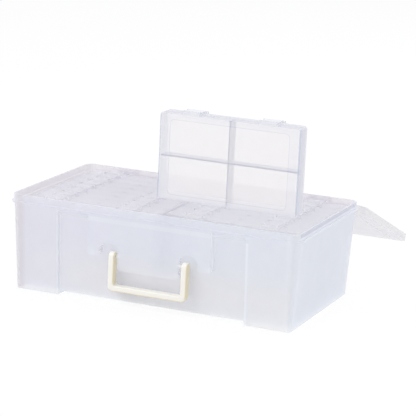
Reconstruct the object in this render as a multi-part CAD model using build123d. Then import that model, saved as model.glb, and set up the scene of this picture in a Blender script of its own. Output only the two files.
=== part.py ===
"""Photo keeper case: a carrying tub with hinged lid and bail handle, stored photo cases and one raised case.

Millimetres, +Z up, +Y to the back. Everything is laid out about the middle of the tub's footprint, and the
finished pieces are then set so that the origin is under the middle of the whole object's box.
"""
from build123d import *
import os
from math import atan2, cos, degrees, hypot, radians, sin

# Tub
rim_width = 380.0
rim_depth = 216.0
tub_height = 121.0
tub_wall = 2.2
rim_radius = 12.0
band_height = 10.4  # upright band round the rim
band_step = 0.8  # the wall under the band stands this much further in
ledge_height = 2.2  # bead under the band that the lid's skirt comes down to
wall_lean = 6.4  # each wall leans in this much between the band and the ground
foot_height = 4.0  # the floor between the two runners is raised this much
runner_inside = 124.0  # half the gap between the two runners
floor_thickness = 2.2
front_recess = 5.0  # the front wall between the corner blocks stands further back
recess_top = 103.0
recess_slope = 5.0

# Block on the front that carries the handle
block_half_width = 82.0
block_leg_bottom = 60.0
boss_half_width = 41.0
boss_bottom = 45.0
boss_corner = 6.0
slot_outside = 65.0
slot_top = 78.0
block_corner = 4.0

# Handle and its pivot pins
handle_half_width = 52.0
handle_arm = 7.6
handle_bar = 7.0
handle_depth = 11.0
handle_drop = 43.0  # pivot to the underside of the bar
handle_pivot_height = 62.0
handle_corner = 7.0
handle_edge = 1.8
handle_pin_radius = 1.8
handle_pin_in_boss = 4.0
handle_pin_short = 1.0  # the pin stops this far inside the arm's outer face
handle_reach_gap = 1.2  # between the handle's back and the wall behind its slots

# Lid
lid_plate = 2.0
lid_wall = 1.6
lid_clearance = 0.5  # skirt to band
lid_seat = 0.2  # plate to rim
skirt_height = 7.1
lid_open_angle = 202.0
panel_margin = 16.0
panel_rise = 1.2
panel_radius = 8.0

# Lid hinges
hinge_spread = 135.0
hinge_back = 8.5  # axis behind the band
hinge_below_rim = 7.0
hinge_radius = 3.8
hinge_ear = 5.0
hinge_knuckle = 18.4
hinge_side_gap = 0.3
hinge_pin_radius = 1.6
hinge_root_drop = 10.0  # the ear meets the wall down to this far under its top
hinge_arm_rise = 5.0
stop_gap = 0.1  # the open lid's skirt to the ears' stop faces
stop_near = 1.0
stop_far = 7.0

# Lid latches
latch_spread = 105.0
latch_width = 26.0
latch_below_rim = 2.5
latch_stand_off = 3.2
latch_barrel = 2.4
latch_plate = 2.2
latch_plate_front = 1.4
latch_tail = 16.5
latch_hook_height = 2.6
latch_hook_gap = 0.4
latch_hook_reach = 2.0  # under the ledge
latch_ear = 3.0
latch_ear_radius = 2.6
latch_pin_radius = 1.25
latch_open_angle = 75.0

# Running fits
pin_clearance = 0.05
side_gap = 0.3

# Photo cases
case_width = 178.0
case_height = 105.2
tray_depth = 15.8
cover_depth = 6.4
case_joint_gap = 0.2
case_wall = 1.4
case_face = 1.6
case_radius = 4.0
case_panel_side = 13.0
case_panel_end = 9.5
case_panel_recess = 0.6
case_panel_radius = 5.0
rows = 8
row_gap = 1.7
column_gap = 2.4
floor_gap = 0.1
first_row_gap = 0.3

# Case hinge, along the long edge that the case stands on
case_hinge_radius = 1.6
case_hinge_drop = 1.7
case_hinge_pin = 0.8
case_hinge_spread = 55.0
case_knuckle = 13.0
case_ear = 3.0

# Case latches, on the opposite long edge
clip_spread = 49.0
clip_width = 22.0
clip_pivot_in = 3.0  # behind the joint between tray and cover
clip_pivot_up = 1.8
clip_barrel = 1.5
clip_pin = 0.8
clip_ear = 2.4
clip_plate = 1.5
clip_hook = 1.0
clip_hook_gap = 0.3  # hook to the tray's front face
clip_hook_drop = 1.2  # the hook reaches this far under the tray's top edge
catch_depth = 1.6
catch_height = 1.7
catch_width = 18.0
clip_lift = 0.4  # plate over catch
clip_grip = 1.4  # the finger ridge stands this much over the plate
clip_grip_depth = 2.2

# Dividers of the raised case
divider_thickness = 1.2
divider_depth = 17.5
divider_end_gap = 0.3
divider_seat_gap = 0.2
guide_rib = 1.2
guide_height = 12.0
guide_gap = 0.15
lap_gap = 0.15

# The raised case stands this high over its slot's floor position
raised_bottom = 139.0

# Worked out from the sizes above
band_bottom = tub_height - band_height
lean_angle = degrees(atan2(wall_lean, band_bottom))
ledge_out = lid_clearance + lid_wall
floor_top = foot_height + floor_thickness
block_front = -(rim_depth / 2 + ledge_out)
lid_bottom = tub_height + lid_seat - skirt_height
lid_top = tub_height + lid_seat + lid_plate
hinge_y = rim_depth / 2 + hinge_back
hinge_z = tub_height - hinge_below_rim
latch_y = -(rim_depth / 2 + ledge_out + latch_stand_off)
latch_z = tub_height - latch_below_rim
case_depth = tray_depth + case_joint_gap + cover_depth
row_pitch = case_depth + row_gap
seated_bottom = floor_top + floor_gap + case_hinge_radius + case_hinge_drop
column_x = case_width / 2 + column_gap / 2


def wall_y(z):
    """Half the tub's depth over its tapered walls, at height z."""
    return rim_depth / 2 - band_step - wall_lean * (band_bottom - z) / band_bottom


first_row_y = -(wall_y(floor_top) - front_recess - tub_wall) + first_row_gap
handle_pivot_y = -(wall_y(slot_top) - front_recess) - handle_reach_gap - handle_depth / 2


def rounded(width, depth, radius, low, high):
    """An upright block with rounded corners, centred on the Z axis."""
    return extrude(Plane.XY.offset(low) * RectangleRounded(width, depth, radius), amount=high - low)


def tapered(inset):
    """The space inside the tub's walls moved in by inset, from the band down to the ground."""
    width = rim_width - 2 * (band_step + inset)
    depth = rim_depth - 2 * (band_step + inset)
    face = Plane.XY.offset(band_bottom) * RectangleRounded(width, depth, rim_radius - band_step - inset)
    return extrude(face, amount=band_bottom, dir=(0, 0, -1), taper=lean_angle)


def box_between(low, high):
    """A box given by its lowest and highest corners."""
    size = [b - a for a, b in zip(low, high)]
    return Pos(*low) * Box(*size, align=(Align.MIN, Align.MIN, Align.MIN))


def side_profile(points, x_low, x_high):
    """A block whose outline in the YZ plane is given, between two X values."""
    outline = Plane.YZ.offset(x_low) * make_face(Polyline(*points, close=True))
    return extrude(outline, amount=x_high - x_low)


def x_cylinder(radius, y, z, x_low, x_high):
    """A round bar along X."""
    return extrude(Plane.YZ.offset(x_low) * Pos(y, z) * Circle(radius), amount=x_high - x_low)


def recess(grow):
    """The wedge of space in front of the set-back middle of the front wall, grown by a wall."""
    half = runner_inside + grow
    top = recess_top + grow
    outside = -rim_depth
    points = [
        (outside, -1),
        (front_recess + grow - wall_y(-1), -1),
        (front_recess + grow - wall_y(top), top),
        (grow - wall_y(top + recess_slope), top + recess_slope),
        (outside, top + recess_slope),
    ]
    return side_profile(points, -half, half)


def front_outline():
    """Outline of the block on the front, with the two arched slots that the handle's arms stand in."""
    wide = Pos(0, (block_leg_bottom + band_bottom) / 2) * RectangleRounded(
        2 * block_half_width, band_bottom - block_leg_bottom, block_corner
    )
    top = Pos(0, band_bottom - block_corner / 2) * Rectangle(2 * block_half_width, block_corner)
    boss_height = band_bottom - boss_bottom
    boss = Pos(0, boss_bottom + boss_height / 2) * RectangleRounded(
        2 * boss_half_width, boss_height, boss_corner
    )
    outline = wide + top + boss
    arch = (slot_outside - boss_half_width) / 2
    for side in (-1, 1):
        middle = side * (slot_outside + boss_half_width) / 2
        straight = slot_top - arch - boss_bottom
        slot = Rectangle(2 * arch, straight, align=(Align.CENTER, Align.MIN))
        outline -= Pos(middle, boss_bottom) * slot
        outline -= Pos(middle, slot_top - arch) * Circle(arch)
    return outline


def front_block(inset, front):
    """The block's outline moved in by inset, from its front back into the tub."""
    outline = front_outline()
    if inset:
        outline = offset(outline, amount=-inset, kind=Kind.INTERSECTION)
    back = -(wall_y(boss_bottom) - front_recess - 3 * tub_wall)
    return extrude(Plane.XZ.offset(-back) * outline, amount=back - front)


def stop_point(along, across):
    """A point near the hinge, along the open lid and square to it, seen in the YZ plane."""
    turn = radians(lid_open_angle)
    return (
        hinge_y - along * cos(turn) + across * sin(turn),
        hinge_z + along * sin(turn) + across * cos(turn),
    )


def hinge_stations():
    """The X of the middle of each lid hinge."""
    return (-hinge_spread, hinge_spread)


def hinge_ears():
    """Two ears at each lid hinge, with the faces that stop the open lid."""
    ledge_y = rim_depth / 2 + ledge_out
    wall_inner = rim_depth / 2 - band_step - tub_wall / 2
    ear_top = band_bottom + ledge_height
    stop = hinge_back - ledge_out - stop_gap
    points = [
        (wall_inner, ear_top - hinge_root_drop),
        (ledge_y, ear_top - hinge_root_drop),
        stop_point(stop, stop_far),
        stop_point(stop, stop_near),
        (hinge_y, hinge_z),
        (hinge_y - hinge_radius, hinge_z),
        (ledge_y + side_gap, ear_top),
        (wall_inner, ear_top),
    ]
    ears = []
    inner = hinge_knuckle / 2 + hinge_side_gap
    for station in hinge_stations():
        for side in (-1, 1):
            near, far = sorted((station + side * inner, station + side * (inner + hinge_ear)))
            ear = side_profile(points, near, far) + x_cylinder(hinge_radius, hinge_y, hinge_z, near, far)
            ears.append(ear - x_cylinder(hinge_pin_radius + pin_clearance, hinge_y, hinge_z, near, far))
    return ears


def make_tub():
    """The tub in one moulding: walls, floor, runners, rim, front block and hinge ears."""
    lower_width = rim_width - 2 * band_step
    lower_depth = rim_depth - 2 * band_step
    ledge_top = band_bottom + ledge_height
    outside = tapered(0) - recess(0)
    outside += rounded(rim_width, rim_depth, rim_radius, band_bottom, tub_height)
    outside += rounded(
        rim_width + 2 * ledge_out, rim_depth + 2 * ledge_out, rim_radius + ledge_out, band_bottom, ledge_top
    )
    outside += front_block(0, block_front)
    walls_inside = tapered(tub_wall)
    hollow = walls_inside - recess(tub_wall)
    hollow -= box_between((-rim_width, -rim_depth, -1), (rim_width, rim_depth, floor_top))
    hollow += front_block(tub_wall, block_front + tub_wall)
    hollow += rounded(
        lower_width - 2 * tub_wall,
        lower_depth - 2 * tub_wall,
        rim_radius - band_step - tub_wall,
        band_bottom,
        ledge_top,
    )
    hollow += rounded(
        rim_width - 2 * tub_wall, rim_depth - 2 * tub_wall, rim_radius - tub_wall, ledge_top, tub_height
    )
    tub = outside - hollow
    tub -= box_between((-runner_inside, -rim_depth, -1), (runner_inside, rim_depth, foot_height))
    for side in (-1, 1):
        near, far = sorted((side * (runner_inside + tub_wall), side * rim_width))
        tub -= walls_inside & box_between((near, -rim_depth, -1), (far, rim_depth, foot_height))
        boss_side, pin_end = sorted((side * boss_half_width, side * (boss_half_width - 2 * tub_wall)))
        bore = handle_pin_radius + pin_clearance
        tub -= x_cylinder(bore, handle_pivot_y, handle_pivot_height, boss_side, pin_end)
    for ear in hinge_ears():
        tub += ear
    return tub


def make_lid():
    """The closed lid: plate, skirt, raised panel, hinge knuckles and the ears of the two latches."""
    width = rim_width + 2 * ledge_out
    depth = rim_depth + 2 * ledge_out
    inner_radius = rim_radius + lid_clearance
    under_plate = tub_height + lid_seat
    lid = rounded(width, depth, rim_radius + ledge_out, lid_bottom, lid_top)
    lid -= rounded(width - 2 * lid_wall, depth - 2 * lid_wall, inner_radius, lid_bottom, under_plate)
    panel_width = width - 2 * panel_margin
    panel_depth = depth - 2 * panel_margin
    lid += rounded(panel_width, panel_depth, panel_radius, lid_top, lid_top + panel_rise)
    pocket = 2 * lid_plate
    lid -= rounded(
        panel_width - pocket, panel_depth - pocket, panel_radius - lid_plate, under_plate, under_plate + panel_rise
    )
    skirt_y = depth / 2
    for station in hinge_stations():
        near = station - hinge_knuckle / 2
        far = station + hinge_knuckle / 2
        arm = [
            (skirt_y - lid_wall / 2, lid_bottom),
            (hinge_y - hinge_radius, lid_bottom),
            (hinge_y, hinge_z - hinge_radius),
            (hinge_y, hinge_z + hinge_radius),
            (skirt_y, hinge_z + hinge_arm_rise),
            (skirt_y - lid_wall / 2, hinge_z + hinge_arm_rise),
        ]
        lid += side_profile(arm, near, far) + x_cylinder(hinge_radius, hinge_y, hinge_z, near, far)
        lid -= x_cylinder(hinge_pin_radius + pin_clearance, hinge_y, hinge_z, near, far)
    for station in (-latch_spread, latch_spread):
        for side in (-1, 1):
            inner = latch_width / 2 + side_gap
            near, far = sorted((station + side * inner, station + side * (inner + latch_ear)))
            web = box_between(
                (near, latch_y, latch_z - latch_ear_radius),
                (far, -(skirt_y - lid_wall / 2), latch_z + latch_ear_radius),
            )
            lid += web + x_cylinder(latch_ear_radius, latch_y, latch_z, near, far)
            lid -= x_cylinder(latch_pin_radius + pin_clearance, latch_y, latch_z, near, far)
    return lid


def make_lid_latch(station):
    """One lid latch in its closed place, its hook under the tub's ledge."""
    near = station - latch_width / 2
    far = station + latch_width / 2
    hook_top = band_bottom - latch_hook_gap
    hook_tip = block_front + latch_hook_reach
    plate_front = latch_y - latch_plate_front
    plate_back = plate_front + latch_plate
    tail = latch_z - latch_tail
    profile = [
        (plate_front, latch_z),
        (plate_back, latch_z),
        (plate_back, hook_top),
        (hook_tip, hook_top),
        (hook_tip, hook_top - latch_hook_height / 2),
        (plate_back, hook_top - latch_hook_height),
        (plate_front, tail),
        (plate_front - latch_plate_front, tail),
    ]
    latch = side_profile(profile, near, far) + x_cylinder(latch_barrel, latch_y, latch_z, near, far)
    return latch - x_cylinder(latch_pin_radius + pin_clearance, latch_y, latch_z, near, far)


def make_latch_pins():
    """The pin of each lid latch."""
    half = latch_width / 2 + side_gap + latch_ear
    stations = (-latch_spread, latch_spread)
    return [x_cylinder(latch_pin_radius, latch_y, latch_z, x - half, x + half) for x in stations]


def make_hinge_pins():
    """The pin of each lid hinge."""
    half = hinge_knuckle / 2 + hinge_side_gap + hinge_ear
    return [x_cylinder(hinge_pin_radius, hinge_y, hinge_z, x - half, x + half) for x in hinge_stations()]


def make_handle():
    """The U-shaped handle, hanging down, bored for its two pins."""
    bottom = handle_pivot_height - handle_drop
    top = handle_pivot_height + handle_depth
    outer = Pos(0, bottom) * Rectangle(2 * handle_half_width, top - bottom, align=(Align.CENTER, Align.MIN))
    outer = fillet(outer.vertices().sort_by(Axis.Y)[:2], handle_corner)
    inner_half = handle_half_width - handle_arm
    inner = Pos(0, bottom + handle_bar) * Rectangle(2 * inner_half, top, align=(Align.CENTER, Align.MIN))
    inner = fillet(inner.vertices().sort_by(Axis.Y)[:2], handle_corner / 2)
    front = handle_pivot_y - handle_depth / 2
    shape = extrude(Plane.XZ.offset(-front) * (outer - inner), amount=-handle_depth)
    side = side_profile(
        [
            (front, bottom),
            (front + handle_depth, bottom),
            (front + handle_depth, handle_pivot_height),
            (front, handle_pivot_height),
        ],
        -handle_half_width,
        handle_half_width,
    )
    side += x_cylinder(
        handle_depth / 2, handle_pivot_y, handle_pivot_height, -handle_half_width, handle_half_width
    )
    handle = shape & side
    long_edges = handle.edges().filter_by(lambda e: e.center().Z < handle_pivot_height - 1)
    along_faces = [e for e in long_edges if abs(abs(e.center().Y - handle_pivot_y) - handle_depth / 2) < 0.01]
    handle = fillet(along_faces, handle_edge)
    for near, far in handle_pin_spans():
        handle -= x_cylinder(handle_pin_radius, handle_pivot_y, handle_pivot_height, near, far)
    return handle


def handle_pin_spans():
    """Where each handle pin begins and ends along X."""
    inner = boss_half_width - handle_pin_in_boss
    outer = handle_half_width - handle_pin_short
    return ((-outer, -inner), (inner, outer))


def make_handle_pins():
    """The two pins that the handle turns on, from the block's middle boss into the arms."""
    return [
        x_cylinder(handle_pin_radius, handle_pivot_y, handle_pivot_height, near, far)
        for near, far in handle_pin_spans()
    ]


def case_shell(depth, face):
    """Half of a photo case: a shallow tray standing on its long edge, open towards +Y, its face at y = 0."""
    outline = RectangleRounded(case_width, case_height, case_radius)
    space = RectangleRounded(case_width - 2 * case_wall, case_height - 2 * case_wall, case_radius - case_wall)
    middle = Pos(0, case_height / 2)
    shell = extrude(Plane.XZ * (middle * outline), amount=-depth)
    shell -= extrude(Plane.XZ.offset(-face) * (middle * space), amount=-(depth - face))
    panel = RectangleRounded(
        case_width - 2 * case_panel_side, case_height - 2 * case_panel_end, case_panel_radius
    )
    return shell - extrude(Plane.XZ * (middle * panel), amount=-case_panel_recess)


def guide_ribs():
    """Pairs of ribs inside a tray's walls that dividers slide between."""
    inner_half = case_width / 2 - case_wall
    offset_in = divider_thickness / 2 + guide_gap
    ribs = []
    for side in (-1, 1):
        for end in (-1, 1):
            middle = case_height / 2
            low, high = sorted((middle + end * offset_in, middle + end * (offset_in + guide_rib)))
            near, far = sorted((side * inner_half, side * (inner_half - guide_rib)))
            ribs.append(box_between((near, case_face, low), (far, case_face + guide_height, high)))
            near, far = sorted((end * offset_in, end * (offset_in + guide_rib)))
            inner_edge = middle + side * (middle - case_wall)
            low, high = sorted((inner_edge, inner_edge - side * guide_rib))
            ribs.append(box_between((near, case_face, low), (far, case_face + guide_height, high)))
    return ribs


def make_tray():
    """The deep half of a photo case, at the front, with hinge knuckles below and latch catches on top."""
    tray = case_shell(tray_depth, case_face)
    for rib in guide_ribs():
        tray += rib
    axis_y = tray_depth + case_joint_gap / 2
    for side in (-1, 1):
        station = side * case_hinge_spread
        near = station - case_knuckle / 2
        far = station + case_knuckle / 2
        tray += hinge_web(near, far, -1)
        tray -= x_cylinder(case_hinge_pin + pin_clearance, axis_y, -case_hinge_drop, near, far)
        middle = side * clip_spread
        tray += box_between(
            (middle - catch_width / 2, 0, case_height - case_wall / 2),
            (middle + catch_width / 2, catch_depth, case_height + catch_height),
        )
    return tray


def hinge_web(near, far, side):
    """A case hinge knuckle between two X values, and the web that joins it to the shell on one side."""
    axis_y = tray_depth + case_joint_gap / 2
    under_shell = case_wall / 2
    edge = axis_y + side * case_joint_gap / 2
    points = [
        (axis_y, -case_hinge_drop - case_hinge_radius),
        (edge + side * 2 * case_hinge_radius, under_shell),
        (edge, under_shell),
        (edge, -case_hinge_drop),
    ]
    return side_profile(points, near, far) + x_cylinder(
        case_hinge_radius, axis_y, -case_hinge_drop, near, far
    )


def make_cover():
    """The shallow half of a photo case, at the back, with hinge ears and pins below and latch ears on top."""
    axis_y = tray_depth + case_joint_gap / 2
    flipped = Rot(0, 0, 180) * case_shell(cover_depth, case_face)
    cover = Pos(0, tray_depth + case_joint_gap + cover_depth) * flipped
    pivot_y = axis_y + clip_pivot_in
    pivot_z = case_height + clip_pivot_up
    for side in (-1, 1):
        station = side * case_hinge_spread
        for end in (-1, 1):
            inner = case_knuckle / 2 + side_gap
            near, far = sorted((station + end * inner, station + end * (inner + case_ear)))
            cover += hinge_web(near, far, 1)
            inner = clip_width / 2 + side_gap
            middle = side * clip_spread
            near, far = sorted((middle + end * inner, middle + end * (inner + clip_ear)))
            cover += box_between(
                (near, pivot_y - clip_barrel, case_height - case_wall / 2), (far, pivot_y + clip_barrel, pivot_z)
            ) + x_cylinder(clip_barrel, pivot_y, pivot_z, near, far)
            cover -= x_cylinder(clip_pin + pin_clearance, pivot_y, pivot_z, near, far)
        half = case_knuckle / 2 + side_gap
        cover += x_cylinder(case_hinge_pin, axis_y, -case_hinge_drop, station - half, station + half)
    return cover


def make_clip(side):
    """One case latch, closed: pivoted on the cover, its hook over the tray's catch and front edge."""
    axis_y = tray_depth + case_joint_gap / 2
    pivot_y = axis_y + clip_pivot_in
    pivot_z = case_height + clip_pivot_up
    hook_back = -clip_hook_gap
    hook_front = hook_back - clip_hook
    hook_low = case_height - clip_hook_drop
    plate_low = case_height + catch_height + clip_lift
    plate_high = plate_low + clip_plate
    profile = [
        (pivot_y, pivot_z),
        (pivot_y - clip_barrel, plate_low),
        (hook_back, plate_low),
        (hook_back, hook_low),
        (hook_front, hook_low),
        (hook_front, plate_high + clip_grip),
        (hook_front + clip_grip_depth, plate_high + clip_grip),
        (hook_front + 2 * clip_grip_depth, plate_high),
        (pivot_y, plate_high),
    ]
    middle = side * clip_spread
    half = clip_width / 2
    clip = side_profile(profile, middle - half, middle + half)
    clip += x_cylinder(clip_barrel, pivot_y, pivot_z, middle - half, middle + half)
    reach = half + side_gap + clip_ear
    return clip + x_cylinder(clip_pin, pivot_y, pivot_z, middle - reach, middle + reach)


def make_long_divider():
    """The divider along the raised case, slotted from its back edge for the short one."""
    half = case_width / 2 - case_wall - divider_end_gap
    middle = case_height / 2
    front = case_face + divider_seat_gap
    thick = divider_thickness / 2
    strip = box_between((-half, front, middle - thick), (half, front + divider_depth, middle + thick))
    slot = thick + lap_gap
    lap = front + divider_depth / 2
    return strip - box_between((-slot, lap - lap_gap, 0), (slot, front + divider_depth, case_height))


def make_short_divider():
    """The divider across the raised case, slotted from its front edge for the long one."""
    low = case_wall + divider_end_gap
    high = case_height - case_wall - divider_end_gap
    middle = case_height / 2
    front = case_face + divider_seat_gap
    thick = divider_thickness / 2
    strip = box_between((-thick, front, low), (thick, front + divider_depth, high))
    slot = thick + lap_gap
    lap = front + divider_depth / 2
    return strip - box_between((-case_width, front, middle - slot), (case_width, lap + lap_gap, middle + slot))


def case_places():
    """Name and place of every stored case; the slot in front on the right is the raised case's own."""
    places = []
    for column, side in (("left", -1), ("right", 1)):
        for row in range(rows):
            if column == "right" and row == 0:
                continue
            place = Pos(side * column_x, first_row_y + row * row_pitch, seated_bottom)
            places.append((f"case_{column}_{row + 1}", place))
    return places


def raised_place():
    """Where the raised case stands, straight over its slot."""
    return Pos(column_x, first_row_y, raised_bottom)


def opened(piece):
    """A piece of the closed lid, turned to where the open lid rests."""
    hinge = Axis((0, hinge_y, hinge_z), (1, 0, 0))
    return piece.rotate(hinge, -lid_open_angle)


def swung_out(latch):
    """A lid latch turned out from its closed place."""
    return latch.rotate(Axis((0, latch_y, latch_z), (1, 0, 0)), -latch_open_angle)


def make_pieces():
    """Every piece by its name, about the middle of the tub's footprint."""
    pieces = {
        "tub": make_tub(),
        "lid": opened(make_lid()),
        "lid_hinge_pins": Part() + make_hinge_pins(),
        "lid_latch_left": opened(swung_out(make_lid_latch(-latch_spread))),
        "lid_latch_right": opened(swung_out(make_lid_latch(latch_spread))),
        "lid_latch_pins": Part() + [opened(pin) for pin in make_latch_pins()],
        "handle": make_handle(),
        "handle_pins": Part() + make_handle_pins(),
    }
    tray = make_tray()
    cover = make_cover()
    clips = [make_clip(side) for side in (-1, 1)]
    for name, place in case_places():
        pieces[f"{name}_tray"] = place * tray
        pieces[f"{name}_cover"] = place * cover
        pieces[f"{name}_latches"] = Part() + [place * clip for clip in clips]
    place = raised_place()
    pieces["raised_case_tray"] = place * tray
    pieces["raised_case_cover"] = place * cover
    pieces["raised_case_latch_left"] = place * clips[0]
    pieces["raised_case_latch_right"] = place * clips[1]
    pieces["raised_case_long_divider"] = place * make_long_divider()
    pieces["raised_case_short_divider"] = place * make_short_divider()
    return pieces


def origin_shift(pieces):
    """The move that puts the origin under the middle of the whole object's box."""
    boxes = [piece.bounding_box() for piece in pieces.values()]
    middle = [
        (min(getattr(b.min, axis) for b in boxes) + max(getattr(b.max, axis) for b in boxes)) / 2
        for axis in "XY"
    ]
    return Pos(-middle[0], -middle[1], -min(b.min.Z for b in boxes))


def main():
    """Build every piece and write it to parts."""
    os.makedirs("parts", exist_ok=True)
    pieces = make_pieces()
    shift = origin_shift(pieces)
    for name, piece in pieces.items():
        export_step(shift * piece, f"parts/{name}.step")


if __name__ == "__main__":
    main()
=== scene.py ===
"""Finishes, stage, lights and camera for a photo keeper case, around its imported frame."""
import math

import bmesh
import bpy
from mathutils import Matrix, Vector


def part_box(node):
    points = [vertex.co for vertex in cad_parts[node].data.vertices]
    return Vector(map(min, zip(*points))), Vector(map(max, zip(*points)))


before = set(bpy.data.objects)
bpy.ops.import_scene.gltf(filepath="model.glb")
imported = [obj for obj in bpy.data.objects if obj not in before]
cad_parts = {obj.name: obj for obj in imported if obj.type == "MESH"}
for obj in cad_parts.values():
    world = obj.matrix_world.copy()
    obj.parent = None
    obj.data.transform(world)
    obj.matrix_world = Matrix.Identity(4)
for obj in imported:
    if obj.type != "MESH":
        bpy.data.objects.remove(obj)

bl_info = {
    "name": "Photo keeper case",
    "version": (1, 0, 0),
    "blender": (4, 5, 0),
    "location": "View3D > Sidebar > Keeper case",
    "description": "Finishes a translucent keeper case with its photo cases, and sets up its stage",
    "category": "Object",
}

MM = 0.001

# The flat sunken panel on a photo case's front stands this far inside its edges
PANEL_SIDE = 13.0 * MM
PANEL_END = 9.5 * MM
PANEL_CORNER = 5.0 * MM

# The raised case's tray is as wide and high as the case
RAISED_LOW, RAISED_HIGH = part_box("raised_case_tray")
TUB_LOW, TUB_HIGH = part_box("tub")
HANDLE_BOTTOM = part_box("handle")[0].z
DIVIDER_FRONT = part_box("raised_case_long_divider")[0].y

# The tub's front corner blocks begin this far from its middle and end this far under its rim
BLOCK_EDGE = 124.0 * MM
BLOCK_TOP = TUB_HIGH.z - 18.0 * MM
SHOULDER_TOP = BLOCK_TOP + 5.0 * MM
BAND_BOTTOM = TUB_HIGH.z - 5.0 * MM
RIM_BOTTOM = TUB_HIGH.z - 13.0 * MM

# Stretches of the tub over which one colour gives way to another: along its width from the middle,
# along its depth from the frame's origin, and up from the ground
FRONT_WALL = (TUB_LOW.y + 20.0 * MM, TUB_LOW.y + 25.0 * MM)
BACK_WALL = (-24.0 * MM, -10.0 * MM)
LEFT_WALL = (-180.0 * MM, -174.0 * MM)
SIDE_WALLS = (150.0 * MM, 160.0 * MM)
LEFT_CORNER = (-175.0 * MM, -168.0 * MM)
ROUND_CORNER = (172.0 * MM, 182.0 * MM)
STEP_ENDS = (168.0 * MM, 172.0 * MM)
LEFT_OF_FRONT = (-150.0 * MM, 20.0 * MM)
LOW_HEIGHT = (25.0 * MM, 85.0 * MM)
LOW_WIDTH = (-170.0 * MM, -60.0 * MM)
MIDDLE = (-10.0 * MM, 10.0 * MM)
SLOT_ENDS = (70.0 * MM, 74.0 * MM)
SLOT_BOTTOM, SLOT_TOP = 40.0 * MM, 82.0 * MM

# How squarely a face looks one way: not at all up to the first number, fully from the second on
SQUARELY = (0.5, 0.9)
MOSTLY = (0.35, 0.9)
PARTLY = (0.2, 0.6)
BARELY = (0.3, 0.6)

# Places of the colour sockets of a Mix node, whose names it uses more than once
MIX_COLOUR_A, MIX_COLOUR_B, MIX_COLOUR_RESULT = 6, 7, 2


# ---------------------------------------------------------------- shader maths


class Value:
    """A number in a node tree. Arithmetic on it adds Math nodes."""

    def __init__(self, finish, socket):
        self.finish = finish
        self.socket = socket

    def _math(self, operation, *values):
        return self.finish.node("ShaderNodeMath", {"operation": operation}, dict(enumerate(values)))

    def __add__(self, other):
        return self._math("ADD", self, other)

    def __radd__(self, other):
        return self._math("ADD", other, self)

    def __sub__(self, other):
        return self._math("SUBTRACT", self, other)

    def __rsub__(self, other):
        return self._math("SUBTRACT", other, self)

    def __mul__(self, other):
        return self._math("MULTIPLY", self, other)

    def __rmul__(self, other):
        return self._math("MULTIPLY", other, self)

    def __abs__(self):
        return self._math("ABSOLUTE", self)

    def above(self, other):
        """The greater of two values."""
        return self._math("MAXIMUM", self, other)

    def below(self, other):
        """The lesser of two values."""
        return self._math("MINIMUM", self, other)

    def root(self):
        """The square root."""
        return self._math("SQRT", self)

    def between(self, low, high, soft=0.5 * MM):
        """1 between two heights or places, and 0 beyond them."""
        return self.rise(low - soft, low) * (1.0 - self.rise(high, high + soft))

    def clamped(self):
        """The value held between 0 and 1."""
        return self.finish.node(
            "ShaderNodeMath", {"operation": "ADD", "use_clamp": True}, {0: self, 1: 0.0}
        )

    def rise(self, low, high):
        """0 below low, 1 above high, and a smooth rise between them."""
        return self.finish.node(
            "ShaderNodeMapRange",
            {"interpolation_type": "SMOOTHSTEP"},
            {"Value": self, "From Min": low, "From Max": high},
        )


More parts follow.
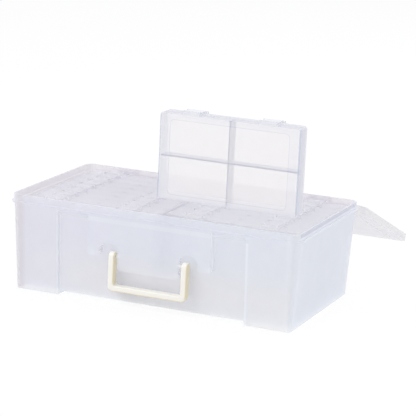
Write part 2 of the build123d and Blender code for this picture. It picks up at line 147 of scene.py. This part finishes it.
class Finish:
    """A material's node tree, with one method that adds any node."""

    def __init__(self, name):
        self.material = bpy.data.materials.new(name)
        self.material.use_nodes = True
        self.tree = self.material.node_tree
        self.tree.nodes.clear()

    def node(self, kind, settings=None, inputs=None, output=0):
        """Add a node, set it up, fill its sockets and give one of its outputs as a Value."""
        made = self.tree.nodes.new(kind)
        for name, value in (settings or {}).items():
            setattr(made, name, value)
        for name, value in (inputs or {}).items():
            if isinstance(value, Value):
                self.tree.links.new(value.socket, made.inputs[name])
            else:
                made.inputs[name].default_value = value
        return Value(self, made.outputs[output] if len(made.outputs) else None)

    def place(self):
        """The X, Y and Z of the shaded point, in metres."""
        return self.parts(self.node("ShaderNodeTexCoord", output="Object"))

    def normal(self):
        """The X, Y and Z of the face's own normal."""
        return self.parts(self.node("ShaderNodeTexCoord", output="Normal"))

    def parts(self, vector):
        """The X, Y and Z of a vector."""
        kind = "ShaderNodeSeparateXYZ"
        return [self.node(kind, inputs={0: vector}, output=axis) for axis in "XYZ"]

    def forward(self):
        """1 on faces that look to the front or the back, and 0 on sides and ends."""
        return abs(self.normal()[1]).rise(*MOSTLY)

    def upward(self):
        """1 on faces that look up."""
        return self.normal()[2].rise(*SQUARELY)

    def noise(self, size, detail=2.0):
        """Even noise from 0 to 1, with grains of about the given size."""
        where = self.node("ShaderNodeTexCoord", output="Object")
        inputs = {"Vector": where, "Scale": 1 / size, "Detail": detail}
        return self.node("ShaderNodeTexNoise", inputs=inputs, output="Fac")

    def shade(self, low, high, share):
        """A colour between two others."""
        ends = [end if isinstance(end, Value) else (*end, 1.0) for end in (low, high)]
        inputs = {"Factor": share, MIX_COLOUR_A: ends[0], MIX_COLOUR_B: ends[1]}
        return self.node("ShaderNodeMix", {"data_type": "RGBA"}, inputs, output=MIX_COLOUR_RESULT)

    def bump(self, height, distance):
        """A normal from a height."""
        return self.node("ShaderNodeBump", inputs={"Height": height, "Distance": distance})

    def plastic(self, colour, roughness, normal):
        """The body of a moulded plastic."""
        return self.node(
            "ShaderNodeBsdfPrincipled",
            inputs={"Base Color": colour, "Roughness": roughness, "IOR": 1.49, "Normal": normal},
        )

    def clear(self, colour=(1.0, 1.0, 1.0)):
        """Light goes straight through, tinted by the colour."""
        return self.node("ShaderNodeBsdfTransparent", inputs={"Color": (*colour, 1.0)})

    def blend(self, share, first, second):
        """A shader between two others."""
        return self.node("ShaderNodeMixShader", inputs={0: share, 1: first, 2: second})

    def ray(self, kind):
        """1 for one kind of ray."""
        return self.node("ShaderNodeLightPath", output=kind)

    def seen(self):
        """1 for rays that see the surface: from the camera, in a reflection or through a sheet."""
        direct = self.ray("Is Camera Ray").above(self.ray("Is Glossy Ray"))
        return direct.above(self.ray("Is Transmission Ray"))

    def show(self, shader):
        """Make this shader the material's surface."""
        self.node("ShaderNodeOutputMaterial", inputs={"Surface": shader})
        return self.material


# ---------------------------------------------------------------- settings


def colour_property(name, description, default):
    return bpy.props.FloatVectorProperty(
        name=name,
        description=description,
        default=default,
        size=3,
        min=0.0,
        max=1.0,
        subtype="COLOR",
    )


def length_property(name, description, default):
    return bpy.props.FloatProperty(
        name=name, description=description, default=default, min=0.0, unit="LENGTH"
    )


def share_property(name, description, default):
    return bpy.props.FloatProperty(
        name=name, description=description, default=default, min=0.0, max=1.0, subtype="FACTOR"
    )


def angle_property(name, description, default):
    return bpy.props.FloatProperty(
        name=name, description=description, default=math.radians(default), subtype="ANGLE"
    )


def deep_tint_property(default):
    return colour_property("Deep tint", "Colour where the plastic clouds", default)


def veil_property(default):
    return share_property("Veil", "How much one skin of the plastic hides", default)


def edge_veil_property(default):
    return share_property("Edge veil", "What a skin hides more where seen edge-on", default)


class PlasticLook:
    """Settings that every translucent plastic has."""

    roughness: share_property("Roughness", "How matt the moulded surface is", 0.36)
    light_through: colour_property(
        "Light through", "Light that one sheet lets in", (0.98, 0.982, 0.986)
    )
    cloud_size: length_property("Cloud size", "Size of the faint clouds in the plastic", 45 * MM)
    grain_size: length_property("Grain size", "Size of the fine surface grain", 1.2 * MM)


class TubPlastic(PlasticLook, bpy.types.PropertyGroup):
    """Milky plastic of the tub."""

    tint: colour_property("Tint", "Colour of the walls", (0.735, 0.762, 0.845))
    deep_tint: deep_tint_property((0.715, 0.742, 0.825))
    corner_tint: colour_property(
        "Corner tint", "Colour of the left front corner", (0.680, 0.652, 0.702)
    )
    left_tint: colour_property(
        "Left tint", "Colour towards the left of the front", (0.725, 0.722, 0.815)
    )
    low_tint: colour_property(
        "Low tint", "Colour of the front towards the ground", (0.788, 0.779, 0.804)
    )
    warm_tint: colour_property(
        "Warm tint", "Colour inside the left and back walls", (0.790, 0.735, 0.785)
    )
    # Painted light: the side walls are made paler than the front, as where light falls on them.
    painted_side_shading: colour_property("Side tint", "Colour of the two sides", (0.790, 0.820, 0.900))
    # Painted shade: a darker band along the outer lip of the rim on the right.
    painted_band_shade: colour_property(
        "Band tint", "Colour of the rim's band on the right", (0.590, 0.600, 0.710)
    )
    # Painted shade: the front rim's top and underside are darkened.
    painted_rim_shade: colour_property(
        "Rim tint", "Colour of the front rim's top and underside", (0.640, 0.660, 0.750)
    )
    # Painted light: pale lines on the front's block edges, steps, shoulder and rounded corner.
    painted_line_shading: colour_property(
        "Line tint", "Colour of steps and corners on the front", (0.840, 0.860, 0.915)
    )
    veil: veil_property(0.40)
    edge_veil: edge_veil_property(0.30)


class LidPlastic(PlasticLook, bpy.types.PropertyGroup):
    """Milky plastic of the lid and its latches."""

    tint: colour_property("Tint", "Colour of the plate", (0.815, 0.797, 0.825))
    deep_tint: deep_tint_property((0.797, 0.777, 0.807))
    veil: veil_property(0.64)
    edge_veil: edge_veil_property(0.08)


class StoredPlastic(PlasticLook, bpy.types.PropertyGroup):
    """Clear plastic of the stored photo cases."""

    tint: colour_property("Tint", "Colour of the broad faces", (0.752, 0.728, 0.772))
    deep_tint: deep_tint_property((0.732, 0.708, 0.757))
    right_tint: colour_property("Right tint", "Colour of the right column", (0.778, 0.768, 0.800))
    edge_tint: colour_property("Edge tint", "Colour of rims and thin sides", (0.710, 0.692, 0.752))
    veil: veil_property(0.18)
    edge_veil: edge_veil_property(0.16)


class RaisedPlastic(PlasticLook, bpy.types.PropertyGroup):
    """Clear plastic of the raised photo case."""

    tint: colour_property("Tint", "Colour of the broad faces", (0.855, 0.830, 0.842))
    deep_tint: deep_tint_property((0.835, 0.810, 0.826))
    frame_tint: colour_property(
        "Frame tint", "Colour of the frame round the panel", (0.810, 0.795, 0.832)
    )
    painted_line_shading: colour_property(
        # Painted shade: a thin dark line round the panel's step.
        "Line tint", "Colour of the step round the panel", (0.680, 0.690, 0.770)
    )
    edge_tint: colour_property("Edge tint", "Colour of rims and thin sides", (0.700, 0.705, 0.785))
    # Painted shade: faces that look up are darkened.
    painted_rim_shade: colour_property("Rim tint", "Colour of faces that look up", (0.620, 0.625, 0.695))
    corner_tint: colour_property(
        "Corner tint", "Colour of the upright corners", (0.500, 0.560, 0.720)
    )
    veil: veil_property(0.34)
    edge_veil: edge_veil_property(0.30)


class LatchPlastic(PlasticLook, bpy.types.PropertyGroup):
    """Plastic of the raised case's latches."""

    tint: colour_property("Tint", "Colour of the broad faces", (0.770, 0.775, 0.820))
    deep_tint: deep_tint_property((0.745, 0.752, 0.805))
    edge_tint: colour_property("Edge tint", "Colour of the thin sides", (0.740, 0.755, 0.820))
    veil: veil_property(0.60)
    edge_veil: edge_veil_property(0.40)


class DividerPlastic(PlasticLook, bpy.types.PropertyGroup):
    """Plastic of the dividers in the raised case."""

    tint: colour_property("Tint", "Colour of the broad faces", (0.540, 0.545, 0.620))
    deep_tint: deep_tint_property((0.500, 0.510, 0.600))
    upper_tint: colour_property("Upper tint", "Colour of faces that look up", (0.480, 0.490, 0.585))
    edge_tint: colour_property(
        "Edge tint", "Colour of the thin front and back", (0.070, 0.110, 0.270)
    )
    veil: veil_property(0.66)
    edge_veil: edge_veil_property(0.80)


class HandlePlastic(bpy.types.PropertyGroup):
    """Solid ivory plastic of the handle."""

    tint: colour_property("Tint", "Colour of the front", (0.876, 0.858, 0.816))
    # Painted shade: one side and the underside are deeper, as the sides away from the light.
    painted_side_shading: colour_property(
        "Side tint", "Deeper colour of one side and the underside", (0.790, 0.700, 0.500)
    )
    deep_tint: deep_tint_property((0.855, 0.825, 0.755))
    roughness: share_property("Roughness", "How matt the moulded surface is", 0.30)
    cloud_size: length_property("Cloud size", "Size of the faint clouds in the plastic", 14 * MM)
    grain_size: length_property("Grain size", "Size of the fine surface grain", 0.9 * MM)


class StageSettings(bpy.types.PropertyGroup):
    """Floor, lights and camera."""

    floor_size: length_property("Floor size", "Side of the floor", 40.0)
    floor_colour: colour_property("Floor", "Colour of the floor", (0.95, 0.95, 0.95))
    floor_glow: share_property("Floor glow", "Share of the floor that shows as plain white", 0.85)
    sky: colour_property("Sky", "Colour of the light from all round", (0.98, 0.99, 1.0))
    sky_strength: bpy.props.FloatProperty(
        name="Sky strength", description="Light from all round", default=0.8, min=0.0
    )
    lamp_power: bpy.props.FloatProperty(
        name="Lamp power",
        description="Watts of the front lamp",
        default=30.0,
        min=0.0,
        unit="POWER",
    )
    azimuth: angle_property("Azimuth", "Turn of the camera round the case", 22.498)
    elevation: angle_property("Elevation", "Camera above the horizon", 13.411)
    roll: angle_property("Roll", "Turn of the camera about its axis", 2.787)
    camera_place: bpy.props.FloatVectorProperty(
        name="Camera place",
        description="Where the camera stands",
        default=(0.9527, -2.3455, 0.6864),
        subtype="XYZ",
        unit="LENGTH",
    )
    lens: bpy.props.FloatProperty(
        name="Lens",
        description="Focal length in millimetres",
        default=172.92,
        min=1.0,
        unit="CAMERA",
    )


class CaseSettings(bpy.types.PropertyGroup):
    """All settings of the keeper case."""

    tub: bpy.props.PointerProperty(type=TubPlastic)
    lid: bpy.props.PointerProperty(type=LidPlastic)
    stored: bpy.props.PointerProperty(type=StoredPlastic)
    raised: bpy.props.PointerProperty(type=RaisedPlastic)
    latch: bpy.props.PointerProperty(type=LatchPlastic)
    divider: bpy.props.PointerProperty(type=DividerPlastic)
    handle: bpy.props.PointerProperty(type=HandlePlastic)
    stage: bpy.props.PointerProperty(type=StageSettings)


# ---------------------------------------------------------------- finishes


def surface(finish, look, roughness_swing, bump_share):
    """Clouds, and the roughness and fine grain of a moulded surface."""
    cloud = finish.noise(look.cloud_size, detail=3.0)
    grain = finish.noise(look.grain_size, detail=1.0)
    roughness = look.roughness + (grain - 0.5) * roughness_swing
    return cloud, roughness, finish.bump(grain, look.grain_size * bump_share)


def milky_plastic(name, look, colour_of=None, edge_of=None, edge_colours=None, clear_of=None):
    """Translucent plastic: clear, with a pale veil that thickens at rims and where seen edge-on.

    colour_of changes the colour over the piece. edge_of gives its rims and thin sides, which take
    the edge tint, or the colours of edge_colours. clear_of gives the parts with hardly any veil.
    """
    finish = Finish(name)
    cloud, roughness, normal = surface(finish, look, roughness_swing=0.12, bump_share=0.012)
    colour = finish.shade(look.tint, look.deep_tint, cloud)
    if colour_of:
        colour = colour_of(finish, look, colour)
    dense = finish.node("ShaderNodeLayerWeight", inputs={"Blend": 0.3}, output="Facing")
    if edge_of:
        edge = edge_of(finish)
        if edge_colours:
            colour = edge_colours(finish, look, colour)
        else:
            colour = finish.shade(colour, look.edge_tint, edge)
        dense = dense + edge * 0.5
    veil = look.veil * (0.9 + 0.2 * cloud) + dense * look.edge_veil
    if clear_of:
        veil = veil * (1.0 - 0.97 * clear_of(finish))
    sheet = finish.blend(veil.clamped(), finish.clear(), finish.plastic(colour, roughness, normal))
    # Light that has been scattered, and light from the lamps, comes through to the inside
    for kind in ("Is Diffuse Ray", "Is Shadow Ray"):
        sheet = finish.blend(finish.ray(kind), sheet, finish.clear(look.light_through))
    return finish.show(sheet)


def thin_sides(finish):
    """1 on rims and thin sides, and 0 on the broad faces."""
    return 1.0 - finish.forward()


def latch_ends(finish):
    """1 on a latch's two ends."""
    return abs(finish.normal()[0]).rise(*MOSTLY)


def divider_front(finish):
    """1 on the thin front and back of the lying divider, and on the strip beside its front."""
    beyond = finish.place()[1].rise(DIVIDER_FRONT + 1.5 * MM, DIVIDER_FRONT + 3 * MM)
    return finish.forward().above(finish.upward() * (1.0 - beyond))


def divider_colours(finish, look, colour):
    """Faces of a divider that look up are deeper."""
    return finish.shade(colour, look.upper_tint, finish.upward())


def tub_colours(finish, look, colour):
    """The walls shift in colour from side to side; the sides and pale front lines are painted
    light, the front rim and a deep band painted shade.
    """
    x, y, z = finish.place()
    across, along, up = finish.normal()
    forward = finish.forward()
    sideways = 1.0 - forward
    front = 1.0 - y.rise(*FRONT_WALL)

    colour = finish.shade(colour, look.left_tint, 1.0 - x.rise(*LEFT_OF_FRONT))
    low = forward * (1.0 - z.rise(*LOW_HEIGHT)) * (0.4 + 0.6 * x.rise(*LOW_WIDTH))
    colour = finish.shade(colour, look.low_tint, low)
    colour = finish.shade(colour, look.corner_tint, (1.0 - x.rise(*LEFT_CORNER)) * front)
    # Painted light: faces on the side walls that look sideways are made paler.
    sides = abs(across).rise(*SQUARELY) * abs(x).rise(*SIDE_WALLS)
    colour = finish.shade(colour, look.painted_side_shading, sides)
    left = sideways * (1.0 - x.rise(*LEFT_WALL))
    outward = (0.0 - across).rise(*BARELY).above(along.rise(*BARELY))
    inside = left.above(y.rise(*BACK_WALL)) * (1.0 - outward)
    colour = finish.shade(colour, look.warm_tint, inside)

    # Painted light: pale lines along the block edges, the sideways steps, the shoulder and the
    # rounded right corner, as highlights along them.
    from_edge = abs(abs(x) - (BLOCK_EDGE + 1.2 * MM))
    below_top = 1.0 - z.rise(BLOCK_TOP - MM, BLOCK_TOP)
    corner = (1.0 - from_edge.rise(0.9 * MM, 2.2 * MM)) * forward * below_top
    corner = corner * (0.3 + 0.7 * x.rise(*MIDDLE))
    step = sideways * (1.0 - abs(x).rise(*STEP_ENDS))
    between_blocks = 1.0 - abs(x).rise(BLOCK_EDGE, BLOCK_EDGE + MM)
    shoulder = z.between(BLOCK_TOP, SHOULDER_TOP) * between_blocks * 0.3
    rounded = x.rise(*ROUND_CORNER) * 0.5
    pale = corner.above(step).above(shoulder).above(rounded) * front
    colour = finish.shade(colour, look.painted_line_shading, pale)

    # Painted shade: the front rim's top and underside, which lamp and floor light brighten, are
    # darkened.
    rim = abs(up).rise(*PARTLY) * z.rise(RIM_BOTTOM, RIM_BOTTOM + 0.5 * MM) * front
    colour = finish.shade(colour, look.painted_rim_shade, rim)
    # Painted shade: a darker band along the right rim's outer lip.
    band = x.rise(TUB_HIGH.x - 3.0 * MM, TUB_HIGH.x - 2.5 * MM) * sideways
    band = band * z.rise(BAND_BOTTOM, BAND_BOTTOM + 0.5 * MM)
    return finish.shade(colour, look.painted_band_shade, band)


def slot_walls(finish):
    """1 on the thin walls round the handle's slots, which are the clearest."""
    x, y, z = finish.place()
    near = (1.0 - abs(x).rise(*SLOT_ENDS)) * (1.0 - y.rise(*FRONT_WALL))
    return near * z.between(SLOT_BOTTOM, SLOT_TOP) * (1.0 - finish.forward())


def stored_colours(finish, look, colour):
    """The right column is a little paler."""
    return finish.shade(colour, look.right_tint, finish.place()[0].rise(0.0, 20 * MM))


def raised_colours(finish, look, colour):
    """The frame round the sunken panel is a little deeper, and its step shows as a thin line of
    painted shade.
    """
    x, _, z = finish.place()
    middle_x = (RAISED_LOW.x + RAISED_HIGH.x) / 2
    middle_z = (RAISED_LOW.z + RAISED_HIGH.z) / 2
    half_width = (RAISED_HIGH.x - RAISED_LOW.x) / 2 - PANEL_SIDE - PANEL_CORNER
    half_height = (RAISED_HIGH.z - RAISED_LOW.z) / 2 - PANEL_END - PANEL_CORNER
    beyond_x = abs(x - middle_x) - half_width
    beyond_z = abs(z - middle_z) - half_height
    out_x = beyond_x.above(0.0)
    out_z = beyond_z.above(0.0)
    inside = beyond_x.above(beyond_z).below(0.0)
    distance = (out_x * out_x + out_z * out_z).root() + inside - PANEL_CORNER
    colour = finish.shade(colour, look.frame_tint, distance.rise(-0.2 * MM, 0.4 * MM))
    # Painted shade: a thin dark line on the front faces along the panel's step.
    line = 1.0 - abs(distance).rise(0.2 * MM, 0.7 * MM)
    return finish.shade(colour, look.painted_line_shading, line * finish.forward())


def raised_edges(finish, look, colour):
    """Rims and thin sides are deeper, most of all along the upright front corners, and faces that
    look up get painted shade.
    """
    x, y, _ = finish.place()
    half_width = (RAISED_HIGH.x - RAISED_LOW.x) / 2
    from_middle = abs(x - (RAISED_LOW.x + half_width))
    side = from_middle.rise(half_width - 1.2 * MM, half_width - 0.6 * MM)
    corner = side * (1.0 - y.rise(RAISED_LOW.y + 2.2 * MM, RAISED_LOW.y + 3.4 * MM))
    colour = finish.shade(colour, look.edge_tint, thin_sides(finish))
    # Painted shade: faces that look up are darkened.
    colour = finish.shade(colour, look.painted_rim_shade, finish.upward())
    return finish.shade(colour, look.corner_tint, corner)


def ivory_plastic(name, look):
    """The handle's solid ivory moulding, with painted shade on one side, underneath and along the
    bar's lower edge.
    """
    finish = Finish(name)
    cloud, roughness, normal = surface(finish, look, roughness_swing=0.1, bump_share=0.02)
    across, _, up = finish.normal()
    # Painted shade: faces that look right and down are deeper, as the sides away from the light.
    side = (across * 0.9 - up * 0.4).rise(0.1, 0.7)
    height = finish.place()[2]
    # Painted shade: a strip along the bar's lower edge.
    painted_lower_edge_shade = 1.0 - height.rise(HANDLE_BOTTOM + 0.9 * MM, HANDLE_BOTTOM + 1.9 * MM)
    colour = finish.shade(look.tint, look.deep_tint, cloud)
    colour = finish.shade(colour, look.painted_side_shading, side.above(painted_lower_edge_shade))
    return finish.show(finish.plastic(colour, roughness, normal))


# ---------------------------------------------------------------- pieces


def dress(names, material):
    """Give CAD nodes their finish."""
    for name in names:
        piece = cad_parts[name]
        piece.data.materials.clear()
        piece.data.materials.append(material)


def names_with(start):
    """The CAD nodes whose name begins with this word."""
    return sorted(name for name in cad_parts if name.startswith(start))


class KEEPER_OT_tub(bpy.types.Operator):
    """Finish the tub"""

    bl_idname = "keeper.tub"
    bl_label = "Tub"

    def execute(self, context):
        look = context.scene.keeper_case.tub
        plastic = milky_plastic("tub_plastic", look, tub_colours, clear_of=slot_walls)
        dress(["tub"], plastic)
        return {"FINISHED"}


class KEEPER_OT_lid(bpy.types.Operator):
    """Finish the lid and its latches"""

    bl_idname = "keeper.lid"
    bl_label = "Lid and latches"

    def execute(self, context):
        look = context.scene.keeper_case.lid
        names = ["lid", "lid_latch_left", "lid_latch_right"]
        dress(names, milky_plastic("lid_plastic", look))
        return {"FINISHED"}


class KEEPER_OT_pins(bpy.types.Operator):
    """Finish the pins of the lid and the handle"""

    bl_idname = "keeper.pins"
    bl_label = "Pins"

    def execute(self, context):
        look = context.scene.keeper_case.lid
        names = ["lid_hinge_pins", "lid_latch_pins", "handle_pins"]
        dress(names, milky_plastic("milky_pins", look))
        return {"FINISHED"}


class KEEPER_OT_handle(bpy.types.Operator):
    """Finish the handle"""

    bl_idname = "keeper.handle"
    bl_label = "Handle"

    def execute(self, context):
        look = context.scene.keeper_case.handle
        dress(["handle"], ivory_plastic("ivory_handle", look))
        return {"FINISHED"}


class KEEPER_OT_stored_cases(bpy.types.Operator):
    """Finish the stored photo cases"""

    bl_idname = "keeper.stored_cases"
    bl_label = "Stored cases"

    def execute(self, context):
        look = context.scene.keeper_case.stored
        plastic = milky_plastic("case_plastic", look, stored_colours, thin_sides)
        dress(names_with("case_"), plastic)
        return {"FINISHED"}


class KEEPER_OT_raised_case(bpy.types.Operator):
    """Finish the raised photo case and its dividers"""

    bl_idname = "keeper.raised_case"
    bl_label = "Raised case"

    def execute(self, context):
        case = context.scene.keeper_case
        shell = milky_plastic(
            "raised_case_plastic", case.raised, raised_colours, thin_sides, raised_edges
        )
        dress(["raised_case_tray", "raised_case_cover"], shell)
        latch = milky_plastic("raised_latch_plastic", case.latch, edge_of=latch_ends)
        dress(["raised_case_latch_left", "raised_case_latch_right"], latch)
        divider = milky_plastic("divider_plastic", case.divider, divider_colours, divider_front)
        names = ["raised_case_long_divider", "raised_case_short_divider"]
        dress(names, divider)
        return {"FINISHED"}


# ---------------------------------------------------------------- stage

# Name, place, size, power against the front lamp's, and colour
LAMPS = (
    ("front_lamp", (-1.2, -1.6, 2.4), 1.6, 1.0, (1.0, 0.99, 0.97)),
    ("back_lamp", (0.8, 1.8, 1.8), 1.4, 0.5, (1.0, 0.995, 0.985)),
)


def add_lamp(scene, name, place, size, power, colour):
    """A square soft lamp that looks at the case."""
    lamp = bpy.data.lights.new(name, "AREA")
    lamp.shape = "SQUARE"
    lamp.size = size
    lamp.energy = power
    lamp.color = colour
    holder = bpy.data.objects.new(name, lamp)
    scene.collection.objects.link(holder)
    holder.location = place
    holder.rotation_euler = (-Vector(place)).to_track_quat("-Z", "Y").to_euler()


def lay_floor(scene, settings):
    """A wide pale floor that shows nearly white, with the case's soft shadow."""
    shape = bmesh.new()
    bmesh.ops.create_grid(shape, x_segments=1, y_segments=1, size=settings.floor_size / 2)
    mesh = bpy.data.meshes.new("floor")
    shape.to_mesh(mesh)
    shape.free()
    floor = bpy.data.objects.new("floor", mesh)
    scene.collection.objects.link(floor)
    finish = Finish("floor_paint")
    seen = finish.seen()
    paint = finish.node("ShaderNodeBsdfDiffuse", inputs={"Color": (*settings.floor_colour, 1.0)})
    white = {"Color": (1.0, 1.0, 1.0, 1.0), "Strength": 1.0}
    glow = finish.node("ShaderNodeEmission", inputs=white)
    floor.data.materials.append(finish.show(finish.blend(seen * settings.floor_glow, paint, glow)))


class Sky(Finish):
    """The world's node tree, filled by the same methods as a material's."""

    def __init__(self, world):
        world.use_nodes = True
        self.tree = world.node_tree
        self.tree.nodes.clear()

    def background(self, colour, strength):
        """Light of one colour from all round."""
        inputs = {"Color": (*colour, 1.0), "Strength": strength}
        return self.node("ShaderNodeBackground", inputs=inputs)

    def show(self, shader):
        """Make this shader the world's surface."""
        self.node("ShaderNodeOutputWorld", inputs={"Surface": shader})


def light_sky(scene, settings):
    """Even light from all round, which shows as plain white."""
    scene.world = bpy.data.worlds.new("studio")
    sky = Sky(scene.world)
    seen = sky.seen()
    light = sky.background(settings.sky, settings.sky_strength)
    sky.show(sky.blend(seen, light, sky.background((1.0, 1.0, 1.0), 1.0)))


def place_camera(scene, settings):
    """The camera, turned by azimuth, elevation and roll."""
    azimuth, elevation, roll = settings.azimuth, settings.elevation, settings.roll
    back = Vector(
        (
            math.sin(azimuth) * math.cos(elevation),
            -math.cos(azimuth) * math.cos(elevation),
            math.sin(elevation),
        )
    )
    right = Vector((math.cos(azimuth), math.sin(azimuth), 0.0))
    up = back.cross(right)
    rolled_right = right * math.cos(roll) + up * math.sin(roll)
    rolled_up = up * math.cos(roll) - right * math.sin(roll)
    camera = bpy.data.objects.new("camera", bpy.data.cameras.new("camera"))
    scene.collection.objects.link(camera)
    camera.data.lens = settings.lens
    camera.data.clip_end = 100.0
    turn = Matrix((rolled_right, rolled_up, back)).transposed().to_4x4()
    camera.matrix_world = Matrix.Translation(settings.camera_place) @ turn
    scene.camera = camera


class KEEPER_OT_stage(bpy.types.Operator):
    """Lay the floor, light the case and place the camera"""

    bl_idname = "keeper.stage"
    bl_label = "Stage"

    def execute(self, context):
        scene = context.scene
        settings = scene.keeper_case.stage
        lay_floor(scene, settings)
        light_sky(scene, settings)
        for name, place, size, share, colour in LAMPS:
            add_lamp(scene, name, place, size, settings.lamp_power * share, colour)
        place_camera(scene, settings)
        scene.view_settings.view_transform = "Standard"
        scene.cycles.transparent_max_bounces = 96
        return {"FINISHED"}


# ---------------------------------------------------------------- panel and main


class KEEPER_PT_panel(bpy.types.Panel):
    """Buttons for each group of pieces"""

    bl_idname = "KEEPER_PT_panel"
    bl_label = "Keeper case"
    bl_space_type = "VIEW_3D"
    bl_region_type = "UI"
    bl_category = "Keeper case"

    def draw(self, context):
        for operator in OPERATORS:
            self.layout.operator(operator.bl_idname)


OPERATORS = (
    KEEPER_OT_tub,
    KEEPER_OT_lid,
    KEEPER_OT_pins,
    KEEPER_OT_handle,
    KEEPER_OT_stored_cases,
    KEEPER_OT_raised_case,
    KEEPER_OT_stage,
)
PLASTICS = (
    TubPlastic,
    LidPlastic,
    StoredPlastic,
    RaisedPlastic,
    LatchPlastic,
    DividerPlastic,
    HandlePlastic,
)
CLASSES = (*PLASTICS, StageSettings, CaseSettings, *OPERATORS, KEEPER_PT_panel)


def register():
    for made in CLASSES:
        bpy.utils.register_class(made)
    bpy.types.Scene.keeper_case = bpy.props.PointerProperty(type=CaseSettings)


def unregister():
    del bpy.types.Scene.keeper_case
    for made in reversed(CLASSES):
        bpy.utils.unregister_class(made)


def main():
    """Make everything in order."""
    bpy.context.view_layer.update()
    register()
    bpy.ops.keeper.tub()
    bpy.ops.keeper.lid()
    bpy.ops.keeper.pins()
    bpy.ops.keeper.handle()
    bpy.ops.keeper.stored_cases()
    bpy.ops.keeper.raised_case()
    bpy.ops.keeper.stage()


if __name__ == "__main__":
    main()
